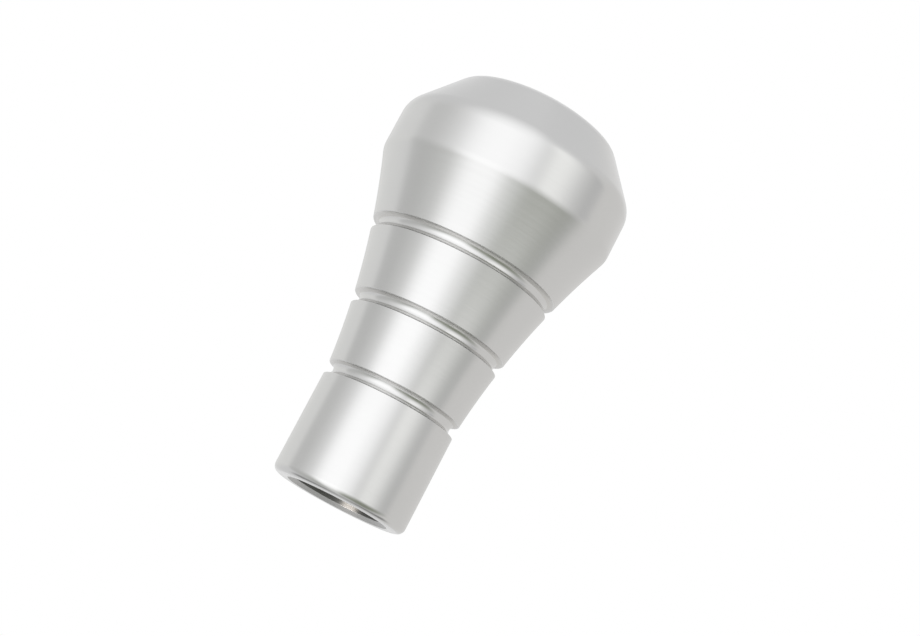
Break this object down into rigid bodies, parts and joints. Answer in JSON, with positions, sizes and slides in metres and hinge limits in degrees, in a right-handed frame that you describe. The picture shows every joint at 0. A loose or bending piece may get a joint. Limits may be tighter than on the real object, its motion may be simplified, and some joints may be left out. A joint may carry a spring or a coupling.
{
  "type": "gear shift knob",
  "caption": "One-piece turned aluminium gear shift knob: straight collar, flared grip with ring grooves, bevelled head with a low domed crown, and a blind threaded lever socket below.",
  "frame": {"origin": "centre of the flat annular face at the lever end, on the turning axis", "axes": "+Z along the turning axis from the lever end to the crown; X and Y may point anywhere, because the part is round"},
  "size_m": [0.0442, 0.0442, 0.08],
  "materials": {
    "turned_aluminium": "bare aluminium, fine turned to a satin surface"
  },
  "bodies": {
    "root": {"knob": "turned_aluminium"}
  },
  "joints": []
}
